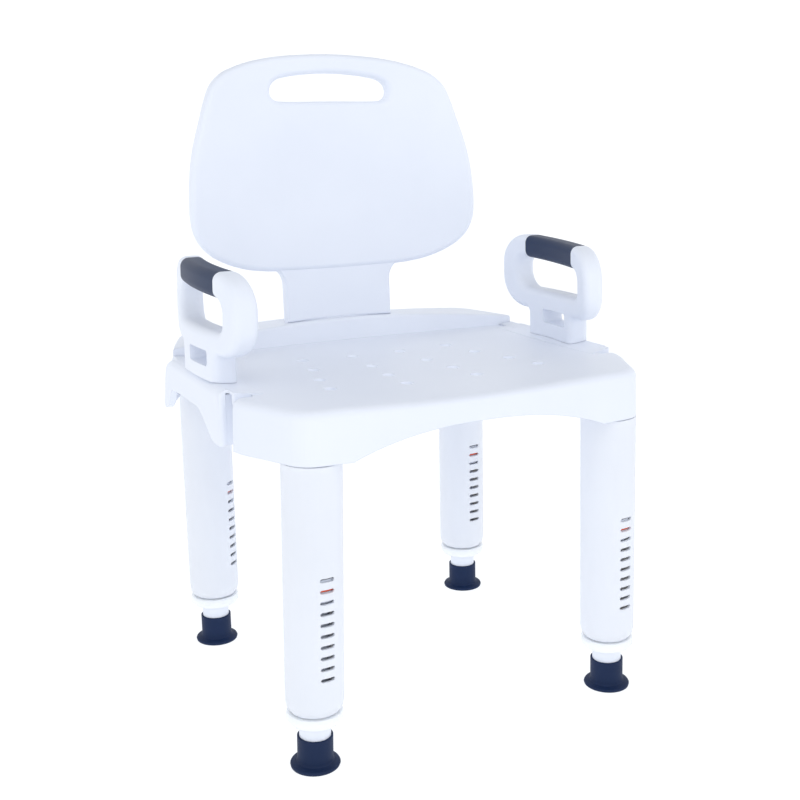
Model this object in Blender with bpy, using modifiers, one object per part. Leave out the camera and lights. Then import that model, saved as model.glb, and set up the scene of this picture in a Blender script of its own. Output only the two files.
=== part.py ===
"""Shower chair: moulded seat, four telescopic legs, lift-off backrest and lift-off armrests.

Frame: the chair faces -Y, +X is its left-hand armrest as a sitter would see it from the
front, +Z is up. The origin is on the floor under the middle of the chair's box.
All lengths in the tables below are millimetres and are scaled to metres by MM.
"""
import math

import bmesh
import bpy
from mathutils import Matrix, Vector

MM = 0.001

# ---------------------------------------------------------------- driving dimensions (mm)
SEAT_FRONT = -221.0          # front face of the skirt at the middle
SEAT_REAR = 221.0            # rear face
SKIRT_BOTTOM = 355.0         # lower edge of the corner blocks
DECK_TOP = 413.5             # deck height at the rim
DECK_LOW = 407.0             # deck height in the middle of the dish
LEDGE_TOP = 438.5            # shelf that carries the backrest, at its middle
LEDGE_CROWN = 1.9e-4         # how it falls away to the sides, 1/mm
WALL = 4.0                   # moulded wall thickness
FRONT_LEG = (200.6, -183.4)  # floor position of a front leg axis
REAR_LEG = (198.5, 183.4)    # floor position of a rear leg axis
FRONT_LEG_TOP = (192.3, -182.0)   # the same axis at the skirt's lower edge
REAR_LEG_TOP = (196.5, 186.0)
LEG_R = 33.0                 # outer leg tube
CORNER_R = 33.0              # skirt corner around the leg
DRAFT = 0.03                 # the skirt narrows upwards, mm per mm of height
SLOT_PITCH = 12.7            # height steps, half an inch
SLOT_TOP = 229.5
SLOT_COUNT = 10
SLOT_W, SLOT_H = 17.0, 4.4
ARM_X = 245.5                # centre surface of an armrest at its base
ARM_T = 31.0                 # armrest thickness
ARM_LEAN = 0.03              # inward lean of the loop, mm per mm of height
ARM_BOW, ARM_BOW_Y = 1.25e-3, 12.0   # the loops bow inwards towards both ends, 1/mm
ARM_BASE = 418.3
ROOF_Z, ROOF_X, ROOF_SLOPE = 414.2, 218.5, 0.115   # top of the armrest bracket
BACK_T = 22.0                # backrest panel thickness
BACK_TILT = 0.0486           # backwards lean, mm per mm of height
BACK_CURVE = 5.7e-4          # concave wrap, 1/mm

# ---------------------------------------------------------------- scene set-up
for ob in list(bpy.data.objects):
    bpy.data.objects.remove(ob, do_unlink=True)
chair = bpy.data.collections.new("shower_chair")
bpy.context.scene.collection.children.link(chair)


def material(name, rgb, rough, metallic=0.0):
    mat = bpy.data.materials.new(name)
    mat.use_nodes = True
    bsdf = mat.node_tree.nodes["Principled BSDF"]
    bsdf.inputs["Base Color"].default_value = (*rgb, 1.0)
    bsdf.inputs["Roughness"].default_value = rough
    bsdf.inputs["Metallic"].default_value = metallic
    mat.diffuse_color = (*rgb, 1.0)
    return mat


WHITE = (0.83, 0.88, 1.0)
NAVY = (0.020, 0.042, 0.100)


# ---------------------------------------------------------------- helpers
def new_object(name, mesh):
    ob = bpy.data.objects.new(name, mesh)
    chair.objects.link(ob)
    return ob


def bake(ob):
    """Replace an object's mesh with its evaluated mesh."""
    bpy.context.view_layer.update()
    deps = bpy.context.evaluated_depsgraph_get()
    mesh = bpy.data.meshes.new_from_object(ob.evaluated_get(deps))
    ob.modifiers.clear()
    ob.data = mesh
    return ob


def tidy(ob, dist=0.00002, flat=None):
    bm = bmesh.new()
    bm.from_mesh(ob.data)
    bmesh.ops.remove_doubles(bm, verts=bm.verts, dist=dist)
    bmesh.ops.dissolve_degenerate(bm, dist=dist, edges=bm.edges)
    if flat is not None:
        bmesh.ops.dissolve_limit(bm, angle_limit=flat, verts=bm.verts, edges=bm.edges)
    bmesh.ops.recalc_face_normals(bm, faces=bm.faces)
    bm.to_mesh(ob.data)
    bm.free()
    return ob


def drop(*obs):
    for ob in obs:
        bpy.data.objects.remove(ob, do_unlink=True)


PLANES = {
    "XY": Matrix(((1, 0, 0, 0), (0, 1, 0, 0), (0, 0, 1, 0), (0, 0, 0, 1))),
    "XZ": Matrix(((1, 0, 0, 0), (0, 0, -1, 0), (0, 1, 0, 0), (0, 0, 0, 1))),
    "YZ": Matrix(((0, 0, 1, 0), (1, 0, 0, 0), (0, 1, 0, 0), (0, 0, 0, 1))),
}


def plate(name, loops, plane, lo, hi):
    """Flat outline (first loop) with holes (other loops), extruded from lo to hi."""
    cu = bpy.data.curves.new(name, "CURVE")
    cu.dimensions = "2D"
    cu.fill_mode = "BOTH"
    cu.extrude = (hi - lo) * MM / 2
    for loop in loops:
        sp = cu.splines.new("POLY")
        sp.points.add(len(loop) - 1)
        for p, (a, b) in zip(sp.points, loop):
            p.co = (a * MM, b * MM, 0, 1)
        sp.use_cyclic_u = True
    tmp = new_object(name + "_outline", cu)
    bpy.context.view_layer.update()
    deps = bpy.context.evaluated_depsgraph_get()
    mesh = bpy.data.meshes.new_from_object(tmp.evaluated_get(deps))
    drop(tmp)
    mid = (lo + hi) / 2 * MM
    shift = {"XY": (0, 0, mid), "XZ": (0, mid, 0), "YZ": (mid, 0, 0)}[plane]
    mesh.transform(Matrix.Translation(shift) @ PLANES[plane])
    ob = new_object(name, mesh)
    return tidy(ob, flat=0.01)


def box(name, x0, x1, y0, y1, z0, z1):
    bpy.ops.mesh.primitive_cube_add(size=1)
    ob = bpy.context.active_object
    ob.name = name
    ob.data.transform(Matrix.Translation(((x0 + x1) / 2 * MM, (y0 + y1) / 2 * MM, (z0 + z1) / 2 * MM))
                      @ Matrix.Diagonal(((x1 - x0) * MM, (y1 - y0) * MM, (z1 - z0) * MM, 1)))
    for col in list(ob.users_collection):
        col.objects.unlink(ob)
    chair.objects.link(ob)
    return ob


def cylinder(name, r, lo, hi, verts=24, matrix=None):
    """Cylinder along local Z from lo to hi, then placed by matrix (metres)."""
    bm = bmesh.new()
    bmesh.ops.create_cone(bm, cap_ends=True, segments=verts, radius1=r * MM, radius2=r * MM,
                          depth=(hi - lo) * MM)
    mesh = bpy.data.meshes.new(name)
    bmesh.ops.translate(bm, verts=bm.verts, vec=(0, 0, (lo + hi) / 2 * MM))
    if matrix is not None:
        bmesh.ops.transform(bm, matrix=matrix, verts=bm.verts)
    bm.to_mesh(mesh)
    bm.free()
    return new_object(name, mesh)


def rounded(ob, width, segments=2, angle=35.0):
    m = ob.modifiers.new("edges", "BEVEL")
    m.width = width * MM
    m.segments = segments
    m.limit_method = "ANGLE"
    m.angle_limit = math.radians(angle)
    m.use_clamp_overlap = False
    m.miter_outer = "MITER_SHARP"
    bake(ob)
    return tidy(ob)


def boolean(ob, tool, operation, keep=False):
    m = ob.modifiers.new("cut", "BOOLEAN")
    m.operation = operation
    m.solver = "EXACT"
    m.object = tool
    bake(ob)
    if not keep:
        drop(tool)
    return ob


def turned(name, profile, steps, matrix=None, closed=True):
    """Turn a profile of (radius, height) points about Z with a Screw modifier."""
    mesh = bpy.data.meshes.new(name)
    verts = [(r * MM, 0, z * MM) for r, z in profile]
    edges = [(i, i + 1) for i in range(len(verts) - 1)]
    if closed:
        edges.append((len(verts) - 1, 0))
    mesh.from_pydata(verts, edges, [])
    ob = new_object(name, mesh)
    m = ob.modifiers.new("turn", "SCREW")
    m.axis = "Z"
    m.angle = 2 * math.pi
    m.steps = steps
    m.render_steps = steps
    m.use_merge_vertices = True
    m.merge_threshold = 0.00002
    m.use_normal_calculate = True
    bake(ob)
    tidy(ob)
    if matrix is not None:
        ob.data.transform(matrix)
    return ob


def smooth(ob, angle=32.0):
    ob.data.shade_smooth()
    ob.data.set_sharp_from_angle(angle=math.radians(angle))
    return ob


def finish(ob, mat, angle=32.0):
    tidy(ob, dist=0.000001)
    ob.data.materials.clear()
    ob.data.materials.append(mat)
    return smooth(ob, angle)


def arc(cx, cy, r, a0, a1, n):
    return [(cx + r * math.cos(math.radians(a0 + (a1 - a0) * i / n)),
             cy + r * math.sin(math.radians(a0 + (a1 - a0) * i / n))) for i in range(n + 1)]


def mirrored(half):
    """Close a right-hand outline (from x = 0 to x = 0) with its left-hand mirror."""
    left = [(-x, y) for x, y in reversed(half) if x > 0.01]
    return half + left


def corner(points, radii, n=5):
    """Round each corner of a polygon by its own radius."""
    out = []
    k = len(points)
    for i in range(k):
        p = Vector(points[i]).to_2d()
        a = (Vector(points[i - 1]).to_2d() - p)
        b = (Vector(points[(i + 1) % k]).to_2d() - p)
        r = radii[i]
        if r <= 0:
            out.append(tuple(p))
            continue
        ua, ub = a.normalized(), b.normalized()
        half = math.acos(max(-1, min(1, ua.dot(ub)))) / 2
        t = r / math.tan(half)
        centre = p + (ua + ub).normalized() * (r / math.sin(half))
        s, e = p + ua * t - centre, p + ub * t - centre
        a0 = math.atan2(s.y, s.x)
        da = (math.atan2(e.y, e.x) - a0 + math.pi) % (2 * math.pi) - math.pi
        m = max(2, int(round(n * abs(da) / (math.pi / 2))))
        for j in range(m + 1):
            out.append((centre.x + r * math.cos(a0 + da * j / m), centre.y + r * math.sin(a0 + da * j / m)))
    return out


def inset_loop(points, d, hole=False):
    """Offset a closed outline by d into the material (a hole grows, an outline shrinks)."""
    area = sum(a[0] * b[1] - b[0] * a[1] for a, b in zip(points, points[1:] + points[:1]))
    sign = (1 if area > 0 else -1) * (-1 if hole else 1)
    out = []
    for i, p in enumerate(points):
        p = Vector(p)
        a = (p - Vector(points[i - 1])).normalized()
        b = (Vector(points[(i + 1) % len(points)]) - p).normalized()
        na, nb = Vector((-a.y, a.x)) * sign, Vector((-b.y, b.x)) * sign
        out.append(tuple(p + (na + nb) * (d / max(0.3, 1 + na.dot(nb)))))
    return out


def rounded_plate(name, outline, holes, sharp_holes, plane, lo, hi, rho, segs, keep=None):
    """Plate whose long edges are rounded: rings lofted through inset outlines, flat caps."""
    levels = []
    for k in range(segs + 1):
        t = k / segs * math.pi / 2
        levels.append((hi - rho * (1 - math.cos(t)), rho * (1 - math.sin(t))))
    levels += [(hi + lo - h, d) for h, d in reversed(levels)]
    bm = bmesh.new()
    caps = [[], []]
    for points, hole, rounded_edge in ([(outline, False, True)] + [(h, True, True) for h in holes]
                                       + [(h, True, False) for h in sharp_holes]):
        use = levels if rounded_edge else [(hi, 0.0), (lo, 0.0)]
        rings = []
        for h, d in use:
            ring = inset_loop(points, d, hole) if d > 0 else points
            if keep is not None:
                ring = [keep(p, q) for p, q in zip(points, ring)]
            rings.append([bm.verts.new((a * MM, b * MM, h * MM)) for a, b in ring])
        n = len(points)
        for top, low in zip(rings, rings[1:]):
            for i in range(n):
                j = (i + 1) % n
                bm.faces.new((top[i], top[j], low[j], low[i]))
        for cap, ring in zip(caps, (rings[0], rings[-1])):
            cap += [bm.edges.get((ring[i], ring[(i + 1) % n])) for i in range(n)]
    for cap in caps:
        bmesh.ops.triangle_fill(bm, use_beauty=True, use_dissolve=False, edges=cap)
    bmesh.ops.transform(bm, matrix=PLANES[plane], verts=bm.verts)
    bmesh.ops.recalc_face_normals(bm, faces=bm.faces)
    mesh = bpy.data.meshes.new(name)
    bm.to_mesh(mesh)
    bm.free()
    return new_object(name, mesh)


def leg_matrix(foot, top, sx):
    """Local leg frame: origin on the floor, Z along the leg axis, turned by the slot angle."""
    p0 = Vector((foot[0] * sx, foot[1], 0)) * MM
    p1 = Vector((top[0] * sx, top[1], SKIRT_BOTTOM)) * MM
    z = (p1 - p0).normalized()
    rot = Vector((0, 0, 1)).rotation_difference(z).to_matrix().to_4x4()
    return Matrix.Translation(p0) @ rot


LEGS = {
    "front_right": (leg_matrix(FRONT_LEG, FRONT_LEG_TOP, -1), 0.10, FRONT_LEG_TOP, -1),
    "front_left": (leg_matrix(FRONT_LEG, FRONT_LEG_TOP, 1), 0.12, FRONT_LEG_TOP, 1),
    "rear_right": (leg_matrix(REAR_LEG, REAR_LEG_TOP, -1), 0.78, REAR_LEG_TOP, -1),
    "rear_left": (leg_matrix(REAR_LEG, REAR_LEG_TOP, 1), 0.13, REAR_LEG_TOP, 1),
}
SIDES = {"right": -1, "left": 1}


def pin_matrix(top, sx, z):
    """Frame of a cross pin: starts on the leg axis and points to the middle of the chair."""
    return (Matrix.Translation(Vector((top[0] * sx, top[1], z)) * MM)
            @ Matrix.Rotation(math.radians(-90 * sx), 4, "Y"))


# ---------------------------------------------------------------- seat
def dish(x, y):
    """Deck height: low in the middle, level at the rim."""
    return min(DECK_TOP, DECK_LOW + 5.0 * (x / 195.0) ** 2 + 3.0 * (y / 215.0) ** 2)


def seat_outline():
    fx, fy = FRONT_LEG_TOP
    rx, ry = REAR_LEG_TOP
    half = [(0, SEAT_FRONT), (96, SEAT_FRONT + 0.9), (160, SEAT_FRONT + 2.6)]
    half += arc(fx, fy, CORNER_R, -85, -20, 6)
    half += [(240, -158), (250, -138), (256, -118), (257, -95), (257, 98), (256, 124), (252, 140), (243, 160)]
    half += arc(rx, ry, CORNER_R, 20, 90, 6)
    half += [(0, SEAT_REAR)]
    return mirrored(half)


def seat_inner():
    half = [(0, SEAT_FRONT + WALL), (160, SEAT_FRONT + WALL + 2.6), (192, -212), (221, -192), (247, -136),
            (250.5, -120), (226, -119.6), (226, 150.1), (243.5, 150.5), (238, 163), (221, 196), (192, 216),
            (160, SEAT_REAR - WALL), (0, SEAT_REAR - WALL)]
    return mirrored(half)


def arch(half_span, crown, power, n=14, base=SKIRT_BOTTOM, low=340.0):
    """Lower-edge arch: a flat-topped curve from base at the ends to crown in the middle."""
    pts = [(-half_span, low)]
    for i in range(n + 1):
        u = -half_span + 2 * half_span * i / n
        pts.append((u, crown - (crown - base - 1.0) * abs(u / half_span) ** power))
    return pts + [(half_span, low)]


def drafted(ob):
    """Narrow a moulding slightly towards its top."""
    for v in ob.data.vertices:
        f = DRAFT * max(0.0, v.co.z / MM - SKIRT_BOTTOM)
        v.co.x *= 1 - f / 240.0
        v.co.y *= 1 - f / 221.0
    return ob


def ledge_outline():
    rx, ry = REAR_LEG_TOP
    half = [(x, 165 - 8e-4 * x * x) for x in (0, 45, 90, 135, 180)] + [(214, 132), (252, 132), (242.6, 159.6)]
    half += arc(rx, ry, CORNER_R - 0.4, 20, 90, 6) + [(0, SEAT_REAR - 0.4)]
    return mirrored(half)


def make_seat():
    body = plate("seat", [seat_outline()], "XY", SKIRT_BOTTOM, DECK_TOP)
    bm = bmesh.new()
    bm.from_mesh(body.data)
    rim = [e for e in bm.edges if all(v.co.z > (DECK_TOP - 0.1) * MM for v in e.verts) and len(e.link_faces) == 2
           and e.calc_face_angle(0) > 0.6]
    bmesh.ops.bevel(bm, geom=rim, offset=10.5 * MM, segments=3, profile=0.5, affect="EDGES", clamp_overlap=False)
    bm.to_mesh(body.data)
    bm.free()
    tidy(body)
    # slice the deck so that it can be dished
    bm = bmesh.new()
    bm.from_mesh(body.data)
    for x in (-150, -75, 0, 75, 150):
        bmesh.ops.bisect_plane(bm, geom=bm.verts[:] + bm.edges[:] + bm.faces[:], plane_co=(x * MM, 0, 0), plane_no=(1, 0, 0))
    for y in (-170, -80, 10, 100):
        bmesh.ops.bisect_plane(bm, geom=bm.verts[:] + bm.edges[:] + bm.faces[:], plane_co=(0, y * MM, 0), plane_no=(0, 1, 0))
    for v in bm.verts:
        x, y, z = (c / MM for c in v.co)
        if z > 402:
            v.co.z = (z + (dish(x, y) - DECK_TOP) * (z - 402) / (DECK_TOP - 402)) * MM
    bmesh.ops.triangulate(bm, faces=[f for f in bm.faces if f.normal.z > 0.5])
    bm.to_mesh(body.data)
    bm.free()

    ledge = plate("ledge", [ledge_outline()], "XY", 395.0, LEDGE_TOP)
    bm = bmesh.new()
    bm.from_mesh(ledge.data)
    for v in bm.verts:
        if v.co.z > (LEDGE_TOP - 1) * MM and v.co.y < 0.1655 and abs(v.co.x) < 0.230:
            v.co.y += 5.0 * MM
    rim = [e for e in bm.edges if all(v.co.z > (LEDGE_TOP - 0.1) * MM for v in e.verts) and e.calc_face_angle(0) > 0.5]
    bmesh.ops.bevel(bm, geom=rim, offset=4.5 * MM, segments=3, profile=0.5, affect="EDGES", clamp_overlap=False)
    for x in (-200, -150, -100, -50, 50, 100, 150, 200):
        bmesh.ops.bisect_plane(bm, geom=bm.verts[:] + bm.edges[:] + bm.faces[:], plane_co=(x * MM, 0, 0), plane_no=(1, 0, 0))
    for v in bm.verts:
        f = max(0.0, (v.co.z / MM - 395.0) / (LEDGE_TOP - 395.0))
        v.co.z -= f * LEDGE_CROWN * (v.co.x / MM) ** 2 * MM
    bmesh.ops.triangulate(bm, faces=bm.faces)
    bm.to_mesh(ledge.data)
    bm.free()
    tidy(ledge)
    drafted(body)
    drafted(ledge)
    boolean(body, ledge, "UNION")

    # recesses for the armrest brackets
    for side, sx in SIDES.items():
        boolean(body, box("recess_" + side, *sorted((230 * sx, 280 * sx)), -115.5, 132.3, 340, 445), "DIFFERENCE")
        boolean(body, box("recess_low_" + side, *sorted((230 * sx, 280 * sx)), 120, 146, 340, 409.5), "DIFFERENCE")
    # arches in the front, rear and side skirts
    boolean(body, plate("arch_front", [arch(157, 381, 2.4)], "XZ", -240, -190), "DIFFERENCE")
    boolean(body, plate("arch_rear", [arch(157, 381, 2.4)], "XZ", 190, 240), "DIFFERENCE")
    side_arch = corner([(-106, 340), (-100, 384), (147, 384), (155, 340)], [0, 16, 16, 0], n=4)
    boolean(body, plate("arch_right", [side_arch], "YZ", -262, -212), "DIFFERENCE")
    boolean(body, plate("arch_left", [side_arch], "YZ", 212, 262), "DIFFERENCE")

    # hollow underside: everything inside the walls except sockets and ribs
    hollow = plate("hollow", [seat_inner()], "XY", 330, 401.5)
    for name, (mat, _a, top, sx) in LEGS.items():
        boolean(hollow, cylinder("socket_" + name, CORNER_R - 0.2, 320, 420, 24, mat), "DIFFERENCE")
    for i, x in enumerate((-75, 75)):
        boolean(hollow, box("rib_x%d" % i, x - 1.5, x + 1.5, -230, 230, 397.5, 420), "DIFFERENCE")
    for i, y in enumerate((-95, 95)):
        boolean(hollow, box("rib_y%d" % i, -260, 260, y - 1.5, y + 1.5, 397.5, 420), "DIFFERENCE")
    boolean(hollow, box("back_socket", -66, 66, 172, 196, 381, 440), "DIFFERENCE")
    boolean(body, hollow, "DIFFERENCE")
    shelf = box("shelf_hollow", -153, 153, 173, SEAT_REAR - 7.0, 395, 428.0)
    boolean(shelf, box("back_socket2", -66, 66, 160, 196, 381, 440), "DIFFERENCE")
    boolean(body, shelf, "DIFFERENCE")
    boolean(body, box("tongue_slot", -61.4, 61.4, 177.2, 191.8, 385.5, 450), "DIFFERENCE")

    for name, (mat, _a, top, sx) in LEGS.items():
        boolean(body, cylinder("bore_" + name, 29.9, 340, 401.5, 24, mat), "DIFFERENCE")
        boolean(body, cylinder("pinhole_" + name, 3.4, 20, 45, 8, pin_matrix(top, sx, 380)), "DIFFERENCE")
    for side, sx in SIDES.items():
        for k, y in enumerate((-50, 56)):
            m = Matrix.Translation((226 * sx * MM, y * MM, 396 * MM)) @ Matrix.Rotation(math.radians(90 * sx), 4, "Y")
            boolean(body, cylinder("screwhole_%s%d" % (side, k), 2.9, -3, 8, 8, m), "DIFFERENCE")
    # drain holes, fanning out towards the front
    rows = ((-119, 46.5, 138), (-66, 44, 129), (-8, 38, 113), (60, 34, 103))
    for i, (y, inner, outer) in enumerate(rows):
        for j, x in enumerate((-outer, -inner, inner, outer)):
            lift = 8 if abs(x) > 100 and y < 0 else 0
            m = Matrix.Translation((x * MM, (y + lift) * MM, 0))
            boolean(body, cylinder("drain_%d%d" % (i, j), 7.0, 390, 430, 8, m), "DIFFERENCE")
    return body


# ---------------------------------------------------------------- legs
OUTER_LEG = [(29.6, 399), (29.6, 354), (33.0, 353.6), (33.0, 81), (31.8, 74.5), (28.2, 69.2),
             (24.0, 69.0), (24.0, 73.0), (29.9, 73.4), (29.9, 346), (26.6, 350), (26.6, 399)]
INNER_LEG = [(29.2, 229), (29.2, 218.4), (26.4, 218.4), (26.4, 215.2), (29.2, 215.2), (29.2, 204),
             (17.8, 193), (17.8, 8.4), (14.8, 8.4), (14.8, 195), (24.0, 204), (24.0, 229)]
INDICATOR = [(29.4, 217.9), (29.4, 215.7), (27.2, 215.7), (27.2, 217.9)]
COLLAR = [(31.0, 67.4), (32.1, 64.5), (32.1, 59), (29.4, 55), (18.4, 54.8), (18.4, 79.5),
          (22.6, 79.5), (26.2, 76.0), (26.2, 74.1), (23.4, 73.9), (23.4, 67.4)]
FOOT = [(0, 7.8), (18.15, 7.8), (18.15, 36.2), (20.3, 35.8), (20.3, 8.0), (21.6, 5.6), (27.6, 3.6), (28.4, 2.0),
        (27.8, 0.0), (0, 0.0)]


def slot_cutter(name, mat, azimuth):
    """Ten slots in one vertical row, made as short radial plates."""
    outline = [(-SLOT_W / 2, -SLOT_H / 2), (SLOT_W / 2, -SLOT_H / 2), (SLOT_W / 2, SLOT_H / 2),
               (-SLOT_W / 2, SLOT_H / 2)]
    tool = None
    for i in range(SLOT_COUNT):
        z = SLOT_TOP - i * SLOT_PITCH
        one = plate("%s_%d" % (name, i), [[(a, b + z) for a, b in outline]], "XZ", -37, -24)
        if tool is None:
            tool = one
        else:
            bm = bmesh.new()
            bm.from_mesh(tool.data)
            bm.from_mesh(one.data)
            bm.to_mesh(tool.data)
            bm.free()
            drop(one)
    tool.data.transform(mat @ Matrix.Rotation(azimuth, 4, "Z"))
    return tool


def make_leg(name):
    mat, azimuth, top, sx = LEGS[name]
    outer = turned("leg_tube_" + name, OUTER_LEG, 24, mat)
    boolean(outer, slot_cutter("slots_" + name, mat, azimuth), "DIFFERENCE")
    boolean(outer, cylinder("pinhole", 3.4, 20, 45, 8, pin_matrix(top, sx, 380)), "DIFFERENCE")
    inner = turned("leg_extension_" + name, INNER_LEG, 18, mat)
    band = turned("height_indicator_" + name, INDICATOR, 20, mat)
    ring = turned("lock_collar_" + name, COLLAR, 18, mat)
    foot = turned("foot_tip_" + name, FOOT, 20, mat, closed=False)
    for v in foot.data.vertices:          # the sole is moulded level with the floor
        if v.co.z < 0.0009 and (v.co.xy - mat.translation.xy).length < 0.0281:
            v.co.z = 0.0
    # cross pin that holds the leg in its socket
    pin = turned("leg_pin_" + name, [(0, 36.8), (5.0, 36.3), (5.0, 33.6), (3.0, 33.4), (3.0, 23.4),
                                     (0, 22.8)], 8, pin_matrix(top, sx, 380), closed=False)
    return outer, inner, band, ring, foot, pin


# ---------------------------------------------------------------- backrest
def back_front(x, z):
    return 173.7 + BACK_TILT * (z - 436) - BACK_CURVE * x * x


def panel_outline():
    half = [(0, 790), (40, 788.6), (75, 785.6), (105, 780.4), (132, 772.6), (152, 763.4), (167, 749.5), (176, 731),
            (186, 702), (196, 672), (202.5, 642), (206.3, 604), (206.6, 586), (204.5, 568), (196.5, 550),
            (182, 535), (163, 524), (138, 515), (112, 510), (80, 507.5), (40, 506.5), (0, 506)]
    return mirrored(half)


def handle_outline():
    half = [(0, 765), (38, 763), (62, 759.6), (74, 756.5), (82, 750.5), (85, 743), (83.5, 735), (77, 730), (70, 729),
            (0, 729)]
    return mirrored(half)


def post_outline():
    half = [(0, 540), (104, 540), (104, 512)] + [(x, z) for x, z in arc(104, 488, 26, 90, 180, 5)][1:]
    half += [(x, LEDGE_TOP + 0.4 - LEDGE_CROWN * x * x) for x in (78, 60, 30, 0)]
    return mirrored(half)


def bend_back(ob, shift):
    """Slice a flat plate into columns, then wrap and tilt it."""
    bm = bmesh.new()
    bm.from_mesh(ob.data)
    for x in range(-180, 181, 30):
        bmesh.ops.bisect_plane(bm, geom=bm.verts[:] + bm.edges[:] + bm.faces[:], plane_co=(x * MM, 0, 0),
                               plane_no=(1, 0, 0))
    for v in bm.verts:
        x, z = v.co.x / MM, v.co.z / MM
        v.co.y += (back_front(x, z) + shift) * MM
    bm.to_mesh(ob.data)
    bm.free()
    return ob


def make_backrest():
    panel = rounded_plate("backrest", panel_outline(), [handle_outline()], [], "XZ", -BACK_T, 0, 8.0, 2)
    bend_back(panel, 0)
    post = rounded_plate("post", post_outline(), [], [], "XZ", -20.0, -3.0, 3.5, 2)
    bend_back(post, 0)
    boolean(panel, post, "UNION")
    tongue = box("tongue", -61, 61, 177.6, 191.4, 386.0, 446.0)
    rounded(tongue, 2.0, 1, 30)
    boolean(panel, tongue, "UNION")
    return panel


# ---------------------------------------------------------------- armrests
def arm_outline():
    """Side view (y, z) of loop and stem."""
    pts = [(-101, 540.8), (105, 550.8), (105, 449), (52.5, 449), (52.5, ARM_BASE), (-53.5, ARM_BASE), (-53.5, 449),
           (-101, 449)]
    return corner(pts, [44, 40, 42, 6, 0, 0, 6, 34], n=5)


def arm_opening():
    return corner([(-70, 512.7), (72, 519.6), (72, 477.5), (-70, 477.5)], [16, 14, 22, 10], n=4)


def arm_window():
    return corner([(-38, 435), (17, 435), (17, 453), (-38, 453)], [4, 4, 4, 4], n=2)


def arm_solid(name, inset, with_window, rho=10.0, segs=2):
    def keep(p, q):
        return (q[0], ARM_BASE) if p[1] < ARM_BASE + 0.01 else q
    outer, opening = inset_loop(arm_outline(), inset), inset_loop(arm_opening(), inset, True)
    outer = [keep(p, q) for p, q in zip(arm_outline(), outer)]
    return rounded_plate(name, outer, [opening], [arm_window()] if with_window else [], "YZ",
                         -ARM_T / 2 + inset, ARM_T / 2 - inset, rho - inset, segs, keep)


def grip_region(name, gap):
    """Block that marks off the covered part of the top bar."""
    g = gap
    return plate(name, [[(-57 - g, 575), (54 + g, 575), (54 + g, 500), (-57 - g, 500)]], "YZ", -40, 40)


def roof_height(x):
    return ROOF_Z + ROOF_SLOPE * (abs(x) - ROOF_X)


def place_arm(ob, sx):
    """Slice the flat loop along its length, bow it in plan, lean it and set its base on the bracket."""
    bm = bmesh.new()
    bm.from_mesh(ob.data)
    for y in (-84, -66, -48, -30, -12, 6, 24, 42, 60, 78):
        bmesh.ops.bisect_plane(bm, geom=bm.verts[:] + bm.edges[:] + bm.faces[:], plane_co=(0, y * MM, 0),
                               plane_no=(0, 1, 0))
    for v in bm.verts:
        x, y, z = (c / MM for c in v.co)
        x += sx * (ARM_X - ARM_LEAN * (z - ARM_BASE) - ARM_BOW * (y - ARM_BOW_Y) ** 2)
        if z < ARM_BASE + 0.01:
            z = roof_height(x) + 0.4
        v.co = (x * MM, y * MM, z * MM)
    bm.to_mesh(ob.data)
    bm.free()
    return ob


def make_armrest(side):
    sx = SIDES[side]
    arm = arm_solid("armrest_" + side, 0.0, True)
    whole = arm.copy()
    whole.data = arm.data.copy()
    chair.objects.link(whole)
    core = arm_solid("core", 2.8, False, segs=2)
    core_fit = arm_solid("core_fit", 2.5, False, segs=2)
    # cover of the top bar
    grip = grip_region("arm_grip_" + side, 0.0)
    boolean(grip, whole, "INTERSECT")
    boolean(grip, core_fit, "DIFFERENCE")
    # the bar under it
    shell = grip_region("shell", 0.3)
    boolean(shell, core, "DIFFERENCE")
    boolean(arm, shell, "DIFFERENCE")
    place_arm(arm, sx)
    place_arm(grip, sx)
    # spigot that drops into the bracket
    spigot = box("spigot", sx * ARM_X - 7.6, sx * ARM_X + 7.6, -37, 31, 387, ARM_BASE + 6)
    rounded(spigot, 1.6, 1, 30)
    boolean(arm, spigot, "UNION")
    return arm, grip


# ---------------------------------------------------------------- armrest brackets
def bracket_side():
    """Side view (y, z) of a bracket: two prongs joined over an arch."""
    return [(-111.5, 425), (103, 419), (111, 416.5), (117, 412.5), (128, 404.5), (133, 393.5), (139, 375.5), (146, 356),
            (143, 351.5), (138, 350.5), (131, 352.5), (120, 360), (111, 374.5), (106, 379.5), (100, 381.5), (-4, 381.5),
            (-12, 378.5), (-25, 371.8), (-44, 359.8), (-56, 353.8), (-62, 352.8), (-84, 352.8), (-87, 355), (-87, 398),
            (-89.5, 404), (-95, 407), (-111.5, 407)]


def bracket_section():
    """End view (x, z): a roof that thins to a tip over the deck and rounds over into the outer cheek."""
    return ([(217.0, 413.8), (217.6, roof_height(217.6)), (250.5, roof_height(250.5))]
            + arc(250.8, 407.7, 10.2, 75, 0, 4) + [(261.0, 345), (253.0, 345), (253.0, 413.8)])


def bracket_plan():
    """Top view (x, y)."""
    return ([(216, -110.9), (246.5, -106.0), (249.0, -104.6), (249.6, -102), (249.6, -91), (250.6, -88.4)]
            + arc(254.6, -80.8, 6.4, -90, 0, 4) + [(261.5, -80.8), (261.5, 150), (216, 150), (216, 126)])


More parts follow.
